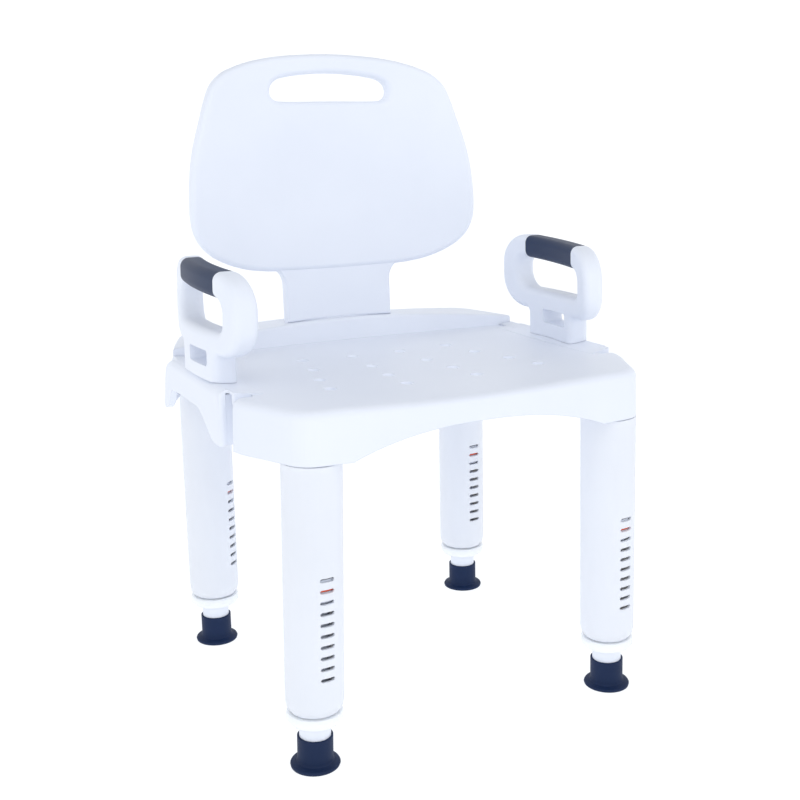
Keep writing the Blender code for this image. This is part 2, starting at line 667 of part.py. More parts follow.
def make_bracket(side):
    sx = SIDES[side]
    cheek = plate("arm_bracket_" + side, [bracket_section()], "XZ", -130, 160)
    boolean(cheek, plate("side_view", [bracket_side()], "YZ", 205, 275), "INTERSECT")
    boolean(cheek, plate("top_view", [bracket_plan()], "XY", 340, 430), "INTERSECT")
    # curved rear web that closes the end of the bracket
    web = [(90, 413.8), (90, 415.8), (103, 415.8), (111, 414.5), (117, 411.9), (127.6, 404.2), (132.5, 393.3), (136, 382),
           (132, 381), (128.4, 392), (124, 401), (113.5, 408.3), (104, 412.4)]
    boolean(cheek, plate("web", [web], "YZ", 231.0, 257.0), "UNION")
    # roof carried on over the rear web, up to the end of the shelf
    roof = [(232.3, 405.3), (232.3, roof_height(232.3) - 0.25), (249.5, roof_height(249.5) - 0.25), (251.6, 414.6),
            (251.6, 405.3)]
    boolean(cheek, plate("roof", [roof], "XZ", 98.7, 130.6), "UNION")
    # front flange of the front prong
    flange = [(233.0, -86.7), (255.7, -86.7), (255.7, -82.7), (233.0, -82.7)]
    boolean(cheek, plate("flange", [flange], "XY", 354.7, 412.1), "UNION")
    # front lip that closes the gap to the corner block
    lip = [(230.6, -108.6), (246.5, -106.0), (249.0, -104.6), (249.6, -102), (249.6, -99), (230.6, -103)]
    boolean(cheek, plate("lip", [lip], "XY", 403.5, 414.4), "UNION")
    boolean(cheek, box("socket", 230.4, 257.0, -64, 70, 386, roof_height(230.4) - 0.2), "UNION")
    boolean(cheek, box("socket_hole", ARM_X - 7.9, ARM_X + 7.9, -37.4, 31.4, 370, 440), "DIFFERENCE")
    for k, y in enumerate((-50, 56)):
        m = Matrix.Translation((226 * MM, y * MM, 396 * MM)) @ Matrix.Rotation(math.radians(90), 4, "Y")
        boolean(cheek, cylinder("thread%d" % k, 2.6, 0, 18, 8, m), "DIFFERENCE")
    if sx < 0:
        cheek.data.transform(Matrix.Diagonal((-1, 1, 1, 1)))
        cheek.data.flip_normals()
    return cheek


def make_bracket_screw(name, sx, y):
    m = Matrix.Translation((226 * sx * MM, y * MM, 396 * MM)) @ Matrix.Rotation(math.radians(90 * sx), 4, "Y")
    return turned(name, [(0, 16), (1.6, 16), (2.2, 15), (2.2, -0.4), (4.4, -0.5), (4.2, -2.2), (0, -3.4)],
                  8, m, closed=False)


# ---------------------------------------------------------------- build
seat = make_seat()
finish(seat, material("seat_plastic", WHITE, 0.42))
for leg in LEGS:
    outer, inner, band, ring, foot, pin = make_leg(leg)
    finish(outer, material("leg_tube_plastic_" + leg, WHITE, 0.40))
    finish(inner, material("leg_extension_plastic_" + leg, WHITE, 0.40))
    finish(band, material("indicator_red_" + leg, (0.80, 0.10, 0.03), 0.45))
    finish(ring, material("collar_plastic_" + leg, (0.80, 0.86, 0.96), 0.30))
    finish(foot, material("foot_rubber_" + leg, NAVY, 0.55), 40)
    finish(pin, material("pin_plastic_" + leg, (0.55, 0.58, 0.62), 0.45))
backrest = make_backrest()
finish(backrest, material("backrest_plastic", WHITE, 0.42))
for side in SIDES:
    arm, grip = make_armrest(side)
    finish(arm, material("armrest_plastic_" + side, WHITE, 0.42))
    finish(grip, material("grip_rubber_" + side, (0.028, 0.050, 0.105), 0.48))
    finish(make_bracket(side), material("bracket_plastic_" + side, WHITE, 0.42))
    for end, y in (("front", -50), ("rear", 56)):
        finish(make_bracket_screw("bracket_screw_%s_%s" % (end, side), SIDES[side], y),
               material("screw_steel_%s_%s" % (end, side), (0.62, 0.63, 0.65), 0.30, 1.0))
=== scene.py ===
"""Shower chair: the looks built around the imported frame.

Every visible piece is built again here with the frame's own dimensions, at a finer
resolution, and rides on its body. Lengths in the tables are millimetres.
"""
import math

import bmesh
import bpy
from mathutils import Matrix, Vector


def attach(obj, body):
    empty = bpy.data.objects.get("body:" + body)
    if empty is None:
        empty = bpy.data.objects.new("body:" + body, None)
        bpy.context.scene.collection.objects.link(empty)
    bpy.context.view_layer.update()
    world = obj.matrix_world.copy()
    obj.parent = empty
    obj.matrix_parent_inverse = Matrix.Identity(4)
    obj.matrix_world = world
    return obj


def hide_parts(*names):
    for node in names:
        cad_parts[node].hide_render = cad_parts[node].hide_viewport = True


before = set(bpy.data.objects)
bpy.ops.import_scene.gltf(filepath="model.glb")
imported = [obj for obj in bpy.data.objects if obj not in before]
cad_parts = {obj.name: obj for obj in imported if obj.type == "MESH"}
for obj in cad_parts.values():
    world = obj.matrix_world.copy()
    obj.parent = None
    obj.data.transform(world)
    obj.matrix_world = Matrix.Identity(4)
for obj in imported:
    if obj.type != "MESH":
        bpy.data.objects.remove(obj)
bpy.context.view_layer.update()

MM = 0.001

# ---------------------------------------------------------------- driving dimensions (mm)
SEAT_FRONT = -221.0          # front face of the skirt at the middle
SEAT_REAR = 221.0            # rear face
SKIRT_BOTTOM = 355.0         # lower edge of the corner blocks
DECK_TOP = 413.5             # deck height at the rim
DECK_LOW = 407.0             # deck height in the middle of the dish
LEDGE_TOP = 438.5            # shelf that carries the backrest, at its middle
LEDGE_CROWN = 1.9e-4         # how it falls away to the sides, 1/mm
WALL = 4.0                   # moulded wall thickness
FRONT_LEG = (200.6, -183.4)  # floor position of a front leg axis
REAR_LEG = (198.5, 183.4)    # floor position of a rear leg axis
FRONT_LEG_TOP = (192.3, -182.0)   # the same axis at the skirt's lower edge
REAR_LEG_TOP = (196.5, 186.0)
LEG_R = 33.0                 # outer leg tube
CORNER_R = 33.0              # skirt corner around the leg
DRAFT = 0.03                 # the skirt narrows upwards, mm per mm of height
SLOT_PITCH = 12.7            # height steps, half an inch
SLOT_TOP = 229.5
SLOT_COUNT = 10
SLOT_W, SLOT_H = 17.0, 4.4
ARM_X = 245.5                # centre surface of an armrest at its base
ARM_T = 31.0                 # armrest thickness
ARM_LEAN = 0.03              # inward lean of the loop, mm per mm of height
ARM_BOW, ARM_BOW_Y = 1.25e-3, 12.0   # the loops bow inwards towards both ends, 1/mm
ARM_BASE = 418.3
ROOF_Z, ROOF_X, ROOF_SLOPE = 414.2, 218.5, 0.115   # top of the armrest bracket
BACK_T = 22.0                # backrest panel thickness
BACK_TILT = 0.0486           # backwards lean, mm per mm of height
BACK_CURVE = 5.7e-4          # concave wrap, 1/mm

# ---------------------------------------------------------------- work collection
chair = bpy.data.collections.new("shower_chair_surface")
bpy.context.scene.collection.children.link(chair)


# ---------------------------------------------------------------- helpers
def new_object(name, mesh):
    ob = bpy.data.objects.new(name, mesh)
    chair.objects.link(ob)
    return ob


def bake(ob):
    """Replace an object's mesh with its evaluated mesh."""
    bpy.context.view_layer.update()
    deps = bpy.context.evaluated_depsgraph_get()
    mesh = bpy.data.meshes.new_from_object(ob.evaluated_get(deps))
    ob.modifiers.clear()
    ob.data = mesh
    return ob


def tidy(ob, dist=0.00002, flat=None):
    bm = bmesh.new()
    bm.from_mesh(ob.data)
    bmesh.ops.remove_doubles(bm, verts=bm.verts, dist=dist)
    bmesh.ops.dissolve_degenerate(bm, dist=dist, edges=bm.edges)
    if flat is not None:
        bmesh.ops.dissolve_limit(bm, angle_limit=flat, verts=bm.verts, edges=bm.edges)
    bmesh.ops.recalc_face_normals(bm, faces=bm.faces)
    bm.to_mesh(ob.data)
    bm.free()
    return ob


def drop(*obs):
    for ob in obs:
        bpy.data.objects.remove(ob, do_unlink=True)


PLANES = {
    "XY": Matrix(((1, 0, 0, 0), (0, 1, 0, 0), (0, 0, 1, 0), (0, 0, 0, 1))),
    "XZ": Matrix(((1, 0, 0, 0), (0, 0, -1, 0), (0, 1, 0, 0), (0, 0, 0, 1))),
    "YZ": Matrix(((0, 0, 1, 0), (1, 0, 0, 0), (0, 1, 0, 0), (0, 0, 0, 1))),
}


def plate(name, loops, plane, lo, hi):
    """Flat outline (first loop) with holes (other loops), extruded from lo to hi."""
    cu = bpy.data.curves.new(name, "CURVE")
    cu.dimensions = "2D"
    cu.fill_mode = "BOTH"
    cu.extrude = (hi - lo) * MM / 2
    for loop in loops:
        sp = cu.splines.new("POLY")
        sp.points.add(len(loop) - 1)
        for p, (a, b) in zip(sp.points, loop):
            p.co = (a * MM, b * MM, 0, 1)
        sp.use_cyclic_u = True
    tmp = new_object(name + "_outline", cu)
    bpy.context.view_layer.update()
    deps = bpy.context.evaluated_depsgraph_get()
    mesh = bpy.data.meshes.new_from_object(tmp.evaluated_get(deps))
    drop(tmp)
    mid = (lo + hi) / 2 * MM
    shift = {"XY": (0, 0, mid), "XZ": (0, mid, 0), "YZ": (mid, 0, 0)}[plane]
    mesh.transform(Matrix.Translation(shift) @ PLANES[plane])
    ob = new_object(name, mesh)
    return tidy(ob, flat=0.01)


def box(name, x0, x1, y0, y1, z0, z1):
    bpy.ops.mesh.primitive_cube_add(size=1)
    ob = bpy.context.active_object
    ob.name = name
    ob.data.transform(Matrix.Translation(((x0 + x1) / 2 * MM, (y0 + y1) / 2 * MM, (z0 + z1) / 2 * MM))
                      @ Matrix.Diagonal(((x1 - x0) * MM, (y1 - y0) * MM, (z1 - z0) * MM, 1)))
    for col in list(ob.users_collection):
        col.objects.unlink(ob)
    chair.objects.link(ob)
    return ob


def cylinder(name, r, lo, hi, verts=24, matrix=None):
    """Cylinder along local Z from lo to hi, then placed by matrix (metres)."""
    bm = bmesh.new()
    bmesh.ops.create_cone(bm, cap_ends=True, segments=verts, radius1=r * MM, radius2=r * MM,
                          depth=(hi - lo) * MM)
    mesh = bpy.data.meshes.new(name)
    bmesh.ops.translate(bm, verts=bm.verts, vec=(0, 0, (lo + hi) / 2 * MM))
    if matrix is not None:
        bmesh.ops.transform(bm, matrix=matrix, verts=bm.verts)
    bm.to_mesh(mesh)
    bm.free()
    return new_object(name, mesh)


def rounded(ob, width, segments=2, angle=35.0):
    m = ob.modifiers.new("edges", "BEVEL")
    m.width = width * MM
    m.segments = segments
    m.limit_method = "ANGLE"
    m.angle_limit = math.radians(angle)
    m.use_clamp_overlap = False
    m.miter_outer = "MITER_SHARP"
    bake(ob)
    return tidy(ob)


def boolean(ob, tool, operation, keep=False):
    m = ob.modifiers.new("cut", "BOOLEAN")
    m.operation = operation
    m.solver = "EXACT"
    m.object = tool
    bake(ob)
    if not keep:
        drop(tool)
    return ob


def turned(name, profile, steps, matrix=None, closed=True):
    """Turn a profile of (radius, height) points about Z with a Screw modifier."""
    mesh = bpy.data.meshes.new(name)
    verts = [(r * MM, 0, z * MM) for r, z in profile]
    edges = [(i, i + 1) for i in range(len(verts) - 1)]
    if closed:
        edges.append((len(verts) - 1, 0))
    mesh.from_pydata(verts, edges, [])
    ob = new_object(name, mesh)
    m = ob.modifiers.new("turn", "SCREW")
    m.axis = "Z"
    m.angle = 2 * math.pi
    m.steps = steps
    m.render_steps = steps
    m.use_merge_vertices = True
    m.merge_threshold = 0.00002
    m.use_normal_calculate = True
    bake(ob)
    tidy(ob)
    if matrix is not None:
        ob.data.transform(matrix)
    return ob


def smooth(ob, angle=32.0):
    ob.data.shade_smooth()
    ob.data.set_sharp_from_angle(angle=math.radians(angle))
    return ob


def finish(ob, mat, angle=38.0):
    tidy(ob, dist=0.000001)
    ob.data.materials.clear()
    ob.data.materials.append(mat)
    smooth(ob, angle)
    m = ob.modifiers.new("normals", "WEIGHTED_NORMAL")
    m.keep_sharp = True
    m.weight = 90
    bake(ob)
    return ob


def spline(points, step, closed=True):
    """Pass a smooth curve through the points of an outline (centripetal Catmull-Rom)."""
    out = []
    k = len(points)
    pts = [Vector(p) for p in points]
    for i in range(k if closed else k - 1):
        p1, p2 = pts[i], pts[(i + 1) % k]
        p0 = pts[i - 1] if closed or i > 0 else p1 + (p1 - p2)
        p3 = pts[(i + 2) % k] if closed or i + 2 < k else p2 + (p2 - p1)
        d = (p2 - p1).length
        n = max(1, int(round(d / step)))
        t0 = 0.0
        t1 = t0 + max(1e-6, (p1 - p0).length) ** 0.5
        t2 = t1 + max(1e-6, d) ** 0.5
        t3 = t2 + max(1e-6, (p3 - p2).length) ** 0.5
        for j in range(n):
            t = t1 + (t2 - t1) * j / n
            a1 = p0 * ((t1 - t) / (t1 - t0)) + p1 * ((t - t0) / (t1 - t0))
            a2 = p1 * ((t2 - t) / (t2 - t1)) + p2 * ((t - t1) / (t2 - t1))
            a3 = p2 * ((t3 - t) / (t3 - t2)) + p3 * ((t - t2) / (t3 - t2))
            b1 = a1 * ((t2 - t) / (t2 - t0)) + a2 * ((t - t0) / (t2 - t0))
            b2 = a2 * ((t3 - t) / (t3 - t1)) + a3 * ((t - t1) / (t3 - t1))
            out.append(tuple(b1 * ((t2 - t) / (t2 - t1)) + b2 * ((t - t1) / (t2 - t1))))
    if not closed:
        out.append(tuple(pts[-1]))
    return out


def arc(cx, cy, r, a0, a1, n):
    return [(cx + r * math.cos(math.radians(a0 + (a1 - a0) * i / n)),
             cy + r * math.sin(math.radians(a0 + (a1 - a0) * i / n))) for i in range(n + 1)]


def mirrored(half):
    """Close a right-hand outline (from x = 0 to x = 0) with its left-hand mirror."""
    left = [(-x, y) for x, y in reversed(half) if x > 0.01]
    return half + left


def corner(points, radii, n=5):
    """Round each corner of a polygon by its own radius."""
    out = []
    k = len(points)
    for i in range(k):
        p = Vector(points[i]).to_2d()
        a = (Vector(points[i - 1]).to_2d() - p)
        b = (Vector(points[(i + 1) % k]).to_2d() - p)
        r = radii[i]
        if r <= 0:
            out.append(tuple(p))
            continue
        ua, ub = a.normalized(), b.normalized()
        half = math.acos(max(-1, min(1, ua.dot(ub)))) / 2
        t = r / math.tan(half)
        centre = p + (ua + ub).normalized() * (r / math.sin(half))
        s, e = p + ua * t - centre, p + ub * t - centre
        a0 = math.atan2(s.y, s.x)
        da = (math.atan2(e.y, e.x) - a0 + math.pi) % (2 * math.pi) - math.pi
        m = max(2, int(round(n * abs(da) / (math.pi / 2))))
        for j in range(m + 1):
            out.append((centre.x + r * math.cos(a0 + da * j / m), centre.y + r * math.sin(a0 + da * j / m)))
    return out


def inset_loop(points, d, hole=False):
    """Offset a closed outline by d into the material (a hole grows, an outline shrinks)."""
    area = sum(a[0] * b[1] - b[0] * a[1] for a, b in zip(points, points[1:] + points[:1]))
    sign = (1 if area > 0 else -1) * (-1 if hole else 1)
    out = []
    for i, p in enumerate(points):
        p = Vector(p)
        a = (p - Vector(points[i - 1])).normalized()
        b = (Vector(points[(i + 1) % len(points)]) - p).normalized()
        na, nb = Vector((-a.y, a.x)) * sign, Vector((-b.y, b.x)) * sign
        out.append(tuple(p + (na + nb) * (d / max(0.3, 1 + na.dot(nb)))))
    return out


def rounded_plate(name, outline, holes, sharp_holes, plane, lo, hi, rho, segs, keep=None):
    """Plate whose long edges are rounded: rings lofted through inset outlines, flat caps."""
    levels = []
    for k in range(segs + 1):
        t = k / segs * math.pi / 2
        levels.append((hi - rho * (1 - math.cos(t)), rho * (1 - math.sin(t))))
    levels += [(hi + lo - h, d) for h, d in reversed(levels)]
    bm = bmesh.new()
    caps = [[], []]
    for points, hole, rounded_edge in ([(outline, False, True)] + [(h, True, True) for h in holes]
                                       + [(h, True, False) for h in sharp_holes]):
        use = levels if rounded_edge else [(hi, 0.0), (lo, 0.0)]
        rings = []
        for h, d in use:
            ring = inset_loop(points, d, hole) if d > 0 else points
            if keep is not None:
                ring = [keep(p, q) for p, q in zip(points, ring)]
            rings.append([bm.verts.new((a * MM, b * MM, h * MM)) for a, b in ring])
        n = len(points)
        for top, low in zip(rings, rings[1:]):
            for i in range(n):
                j = (i + 1) % n
                bm.faces.new((top[i], top[j], low[j], low[i]))
        for cap, ring in zip(caps, (rings[0], rings[-1])):
            cap += [bm.edges.get((ring[i], ring[(i + 1) % n])) for i in range(n)]
    for cap in caps:
        bmesh.ops.triangle_fill(bm, use_beauty=True, use_dissolve=False, edges=cap)
    bmesh.ops.transform(bm, matrix=PLANES[plane], verts=bm.verts)
    bmesh.ops.recalc_face_normals(bm, faces=bm.faces)
    mesh = bpy.data.meshes.new(name)
    bm.to_mesh(mesh)
    bm.free()
    return new_object(name, mesh)


def leg_matrix(foot, top, sx):
    """Local leg frame: origin on the floor, Z along the leg axis."""
    p0 = Vector((foot[0] * sx, foot[1], 0)) * MM
    p1 = Vector((top[0] * sx, top[1], SKIRT_BOTTOM)) * MM
    z = (p1 - p0).normalized()
    rot = Vector((0, 0, 1)).rotation_difference(z).to_matrix().to_4x4()
    return Matrix.Translation(p0) @ rot


LEGS = {
    "front_right": (leg_matrix(FRONT_LEG, FRONT_LEG_TOP, -1), 0.10, FRONT_LEG_TOP, -1),
    "front_left": (leg_matrix(FRONT_LEG, FRONT_LEG_TOP, 1), 0.12, FRONT_LEG_TOP, 1),
    "rear_right": (leg_matrix(REAR_LEG, REAR_LEG_TOP, -1), 0.78, REAR_LEG_TOP, -1),
    "rear_left": (leg_matrix(REAR_LEG, REAR_LEG_TOP, 1), 0.13, REAR_LEG_TOP, 1),
}
SIDES = {"right": -1, "left": 1}


def pin_matrix(top, sx, z):
    """Frame of a cross pin: starts on the leg axis and points to the middle of the chair."""
    return (Matrix.Translation(Vector((top[0] * sx, top[1], z)) * MM)
            @ Matrix.Rotation(math.radians(-90 * sx), 4, "Y"))


# ---------------------------------------------------------------- seat
def dish(x, y):
    """Deck height: low in the middle, level at the rim."""
    return min(DECK_TOP, DECK_LOW + 5.0 * (x / 195.0) ** 2 + 3.0 * (y / 215.0) ** 2)


def seat_outline():
    fx, fy = FRONT_LEG_TOP
    rx, ry = REAR_LEG_TOP
    half = [(0, SEAT_FRONT), (96, SEAT_FRONT + 0.9), (160, SEAT_FRONT + 2.6)]
    half += arc(fx, fy, CORNER_R, -85, -20, 16)
    half += spline([(240, -158), (250, -138), (256, -118), (257, -95)], 5, False)
    half += spline([(257, 98), (256, 124), (252, 140), (243, 160)], 5, False)
    half += arc(rx, ry, CORNER_R, 20, 90, 16)
    half += [(0, SEAT_REAR)]
    return mirrored(half)


def seat_inner():
    half = [(0, SEAT_FRONT + WALL), (160, SEAT_FRONT + WALL + 2.6), (192, -212), (221, -192), (247, -136),
            (250.5, -120), (226, -119.6), (226, 150.1), (243.5, 150.5), (238, 163), (221, 196), (192, 216),
            (160, SEAT_REAR - WALL), (0, SEAT_REAR - WALL)]
    return mirrored(half)


def arch(half_span, crown, power, n=44, base=SKIRT_BOTTOM, low=340.0):
    """Lower-edge arch: a flat-topped curve from base at the ends to crown in the middle."""
    pts = [(-half_span, low)]
    for i in range(n + 1):
        u = -half_span + 2 * half_span * i / n
        pts.append((u, crown - (crown - base - 1.0) * abs(u / half_span) ** power))
    return pts + [(half_span, low)]


def drafted(ob):
    """Narrow a moulding slightly towards its top."""
    for v in ob.data.vertices:
        f = DRAFT * max(0.0, v.co.z / MM - SKIRT_BOTTOM)
        v.co.x *= 1 - f / 240.0
        v.co.y *= 1 - f / 221.0
    return ob


def ledge_outline():
    rx, ry = REAR_LEG_TOP
    half = [(x, 165 - 8e-4 * x * x) for x in range(0, 181, 15)] + [(214, 132), (252, 132), (242.6, 159.6)]
    half += arc(rx, ry, CORNER_R - 0.4, 20, 90, 16) + [(0, SEAT_REAR - 0.4)]
    return mirrored(half)


def make_seat():
    body = plate("seat", [seat_outline()], "XY", SKIRT_BOTTOM, DECK_TOP)
    bm = bmesh.new()
    bm.from_mesh(body.data)
    rim = [e for e in bm.edges if all(v.co.z > (DECK_TOP - 0.1) * MM for v in e.verts) and len(e.link_faces) == 2
           and e.calc_face_angle(0) > 0.6]
    bmesh.ops.bevel(bm, geom=rim, offset=10.5 * MM, segments=7, profile=0.5, affect="EDGES", clamp_overlap=False)
    bm.to_mesh(body.data)
    bm.free()
    tidy(body)
    # slice the deck so that it can be dished
    bm = bmesh.new()
    bm.from_mesh(body.data)
    for x in range(-210, 211, 30):
        bmesh.ops.bisect_plane(bm, geom=bm.verts[:] + bm.edges[:] + bm.faces[:], plane_co=(x * MM, 0, 0), plane_no=(1, 0, 0))
    for y in range(-200, 150, 30):
        bmesh.ops.bisect_plane(bm, geom=bm.verts[:] + bm.edges[:] + bm.faces[:], plane_co=(0, y * MM, 0), plane_no=(0, 1, 0))
    for v in bm.verts:
        x, y, z = (c / MM for c in v.co)
        if z > 402:
            v.co.z = (z + (dish(x, y) - DECK_TOP) * (z - 402) / (DECK_TOP - 402)) * MM
    bmesh.ops.triangulate(bm, faces=[f for f in bm.faces if f.normal.z > 0.5])
    bm.to_mesh(body.data)
    bm.free()

    ledge = plate("ledge", [ledge_outline()], "XY", 395.0, LEDGE_TOP)
    bm = bmesh.new()
    bm.from_mesh(ledge.data)
    for v in bm.verts:
        if v.co.z > (LEDGE_TOP - 1) * MM and v.co.y < 0.1655 and abs(v.co.x) < 0.230:
            v.co.y += 5.0 * MM
    rim = [e for e in bm.edges if all(v.co.z > (LEDGE_TOP - 0.1) * MM for v in e.verts) and e.calc_face_angle(0) > 0.5]
    bmesh.ops.bevel(bm, geom=rim, offset=4.5 * MM, segments=6, profile=0.5, affect="EDGES", clamp_overlap=False)
    for x in range(-220, 221, 20):
        bmesh.ops.bisect_plane(bm, geom=bm.verts[:] + bm.edges[:] + bm.faces[:], plane_co=(x * MM, 0, 0), plane_no=(1, 0, 0))
    for v in bm.verts:
        f = max(0.0, (v.co.z / MM - 395.0) / (LEDGE_TOP - 395.0))
        v.co.z -= f * LEDGE_CROWN * (v.co.x / MM) ** 2 * MM
    bmesh.ops.triangulate(bm, faces=bm.faces)
    bm.to_mesh(ledge.data)
    bm.free()
    tidy(ledge)
    drafted(body)
    drafted(ledge)
    boolean(body, ledge, "UNION")

    # recesses for the armrest brackets
    for side, sx in SIDES.items():
        boolean(body, box("recess_" + side, *sorted((230 * sx, 280 * sx)), -115.5, 132.3, 340, 445), "DIFFERENCE")
        boolean(body, box("recess_low_" + side, *sorted((230 * sx, 280 * sx)), 120, 146, 340, 409.5), "DIFFERENCE")
    # arches in the front, rear and side skirts
    boolean(body, plate("arch_front", [arch(157, 381, 2.4)], "XZ", -240, -190), "DIFFERENCE")
    boolean(body, plate("arch_rear", [arch(157, 381, 2.4)], "XZ", 190, 240), "DIFFERENCE")
    side_arch = corner([(-106, 340), (-100, 384), (147, 384), (155, 340)], [0, 16, 16, 0], n=12)
    boolean(body, plate("arch_right", [side_arch], "YZ", -262, -212), "DIFFERENCE")
    boolean(body, plate("arch_left", [side_arch], "YZ", 212, 262), "DIFFERENCE")

    # hollow underside: everything inside the walls except sockets and ribs
    hollow = plate("hollow", [seat_inner()], "XY", 330, 401.5)
    for name, (mat, _a, top, sx) in LEGS.items():
        boolean(hollow, cylinder("socket_" + name, CORNER_R - 0.2, 320, 420, 72, mat), "DIFFERENCE")
    for i, x in enumerate((-75, 75)):
        boolean(hollow, box("rib_x%d" % i, x - 1.5, x + 1.5, -230, 230, 397.5, 420), "DIFFERENCE")
    for i, y in enumerate((-95, 95)):
        boolean(hollow, box("rib_y%d" % i, -260, 260, y - 1.5, y + 1.5, 397.5, 420), "DIFFERENCE")
    boolean(hollow, box("back_socket", -66, 66, 172, 196, 381, 440), "DIFFERENCE")
    boolean(body, hollow, "DIFFERENCE")
    shelf = box("shelf_hollow", -153, 153, 173, SEAT_REAR - 7.0, 395, 428.0)
    boolean(shelf, box("back_socket2", -66, 66, 160, 196, 381, 440), "DIFFERENCE")
    boolean(body, shelf, "DIFFERENCE")
    boolean(body, box("tongue_slot", -61.4, 61.4, 177.2, 191.8, 385.5, 450), "DIFFERENCE")

    for name, (mat, _a, top, sx) in LEGS.items():
        boolean(body, cylinder("bore_" + name, 29.9, 340, 401.5, 72, mat), "DIFFERENCE")
        boolean(body, cylinder("pinhole_" + name, 3.4, 20, 45, 24, pin_matrix(top, sx, 380)), "DIFFERENCE")
    for side, sx in SIDES.items():
        for k, y in enumerate((-50, 56)):
            m = Matrix.Translation((226 * sx * MM, y * MM, 396 * MM)) @ Matrix.Rotation(math.radians(90 * sx), 4, "Y")
            boolean(body, cylinder("screwhole_%s%d" % (side, k), 2.9, -3, 8, 24, m), "DIFFERENCE")
    # drain holes, fanning out towards the front
    rows = ((-119, 46.5, 138), (-66, 44, 129), (-8, 38, 113), (60, 34, 103))
    for i, (y, inner, outer) in enumerate(rows):
        for j, x in enumerate((-outer, -inner, inner, outer)):
            lift = 8 if abs(x) > 100 and y < 0 else 0
            m = Matrix.Translation((x * MM, (y + lift) * MM, 0))
            top = dish(x, y + lift)
            boolean(body, turned("drain_%d%d" % (i, j), [(0, top + 6), (12.6, top + 6), (7.9, top), (7.1, top - 1.3),
                                                         (7.0, 390), (0, 390)], 36, m, closed=False), "DIFFERENCE")
    return body


# ---------------------------------------------------------------- legs
OUTER_LEG = [(29.6, 399), (29.6, 354), (33.0, 353.6), (33.0, 81), (31.8, 74.5), (28.2, 69.2),
             (24.0, 69.0), (24.0, 73.0), (29.9, 73.4), (29.9, 346), (26.6, 350), (26.6, 399)]
INNER_LEG = [(29.2, 229), (29.2, 218.4), (26.4, 218.4), (26.4, 215.2), (29.2, 215.2), (29.2, 204),
             (17.8, 193), (17.8, 8.4), (14.8, 8.4), (14.8, 195), (24.0, 204), (24.0, 229)]
INDICATOR = [(29.4, 217.9), (29.4, 215.7), (27.2, 215.7), (27.2, 217.9)]
COLLAR = [(31.0, 67.4), (32.1, 64.5), (32.1, 59), (29.4, 55), (18.4, 54.8), (18.4, 79.5),
          (22.6, 79.5), (26.2, 76.0), (26.2, 74.1), (23.4, 73.9), (23.4, 67.4)]
FOOT = [(0, 7.8), (18.15, 7.8), (18.15, 36.2), (20.3, 35.8), (20.3, 8.0), (21.6, 5.6), (27.6, 3.6), (28.4, 2.0),
        (27.8, 0.0), (0, 0.0)]


def slot_cutter(name, mat, azimuth):
    """Ten slots in one vertical row, made as short radial plates."""
    r = SLOT_H / 2 - 0.01
    outline = arc(SLOT_W / 2 - r, 0, r, -90, 90, 10) + arc(-SLOT_W / 2 + r, 0, r, 90, 270, 10)
    tool = None
    for i in range(SLOT_COUNT):
        z = SLOT_TOP - i * SLOT_PITCH
        one = plate("%s_%d" % (name, i), [[(a, b + z) for a, b in outline]], "XZ", -37, -24)
        if tool is None:
            tool = one
        else:
            bm = bmesh.new()
            bm.from_mesh(tool.data)
            bm.from_mesh(one.data)
            bm.to_mesh(tool.data)
            bm.free()
            drop(one)
    tool.data.transform(mat @ Matrix.Rotation(azimuth, 4, "Z"))
    return tool


def make_leg(name):
    mat, azimuth, top, sx = LEGS[name]
    outer = turned("leg_tube_" + name, OUTER_LEG, 96, mat)
    boolean(outer, slot_cutter("slots_" + name, mat, azimuth), "DIFFERENCE")
    boolean(outer, cylinder("pinhole", 3.4, 20, 45, 24, pin_matrix(top, sx, 380)), "DIFFERENCE")
    inner = turned("leg_extension_" + name, INNER_LEG, 72, mat)
    band = turned("height_indicator_" + name, INDICATOR, 72, mat)
    ring = turned("lock_collar_" + name, COLLAR, 96, mat)
    foot = turned("foot_tip_" + name, FOOT, 96, mat, closed=False)
    for v in foot.data.vertices:          # the sole is moulded level with the floor
        if v.co.z < 0.0009 and (v.co.xy - mat.translation.xy).length < 0.0281:
            v.co.z = 0.0
    # cross pin that holds the leg in its socket
    pin = turned("leg_pin_" + name, [(0, 36.8), (5.0, 36.3), (5.0, 33.6), (3.0, 33.4), (3.0, 23.4),
                                     (0, 22.8)], 32, pin_matrix(top, sx, 380), closed=False)
    return outer, inner, band, ring, foot, pin


# ---------------------------------------------------------------- backrest
def back_front(x, z):
    return 173.7 + BACK_TILT * (z - 436) - BACK_CURVE * x * x


def panel_outline():
    half = [(0, 790), (40, 788.6), (75, 785.6), (105, 780.4), (132, 772.6), (152, 763.4), (167, 749.5), (176, 731),
            (186, 702), (196, 672), (202.5, 642), (206.3, 604), (206.6, 586), (204.5, 568), (196.5, 550),
            (182, 535), (163, 524), (138, 515), (112, 510), (80, 507.5), (40, 506.5), (0, 506)]
    return spline(mirrored(half), 5.0)


def handle_outline():
    half = [(0, 765), (38, 763), (62, 759.6), (74, 756.5), (82, 750.5), (85, 743), (83.5, 735), (77, 730), (70, 729),
            (0, 729)]
    return spline(mirrored(half), 3.0)


def post_outline():
    half = [(0, 540), (104, 540), (104, 512)] + [(x, z) for x, z in arc(104, 488, 26, 90, 180, 16)][1:]
    half += [(x, LEDGE_TOP + 0.15 - LEDGE_CROWN * x * x) for x in range(78, -1, -6)]
    return mirrored(half)


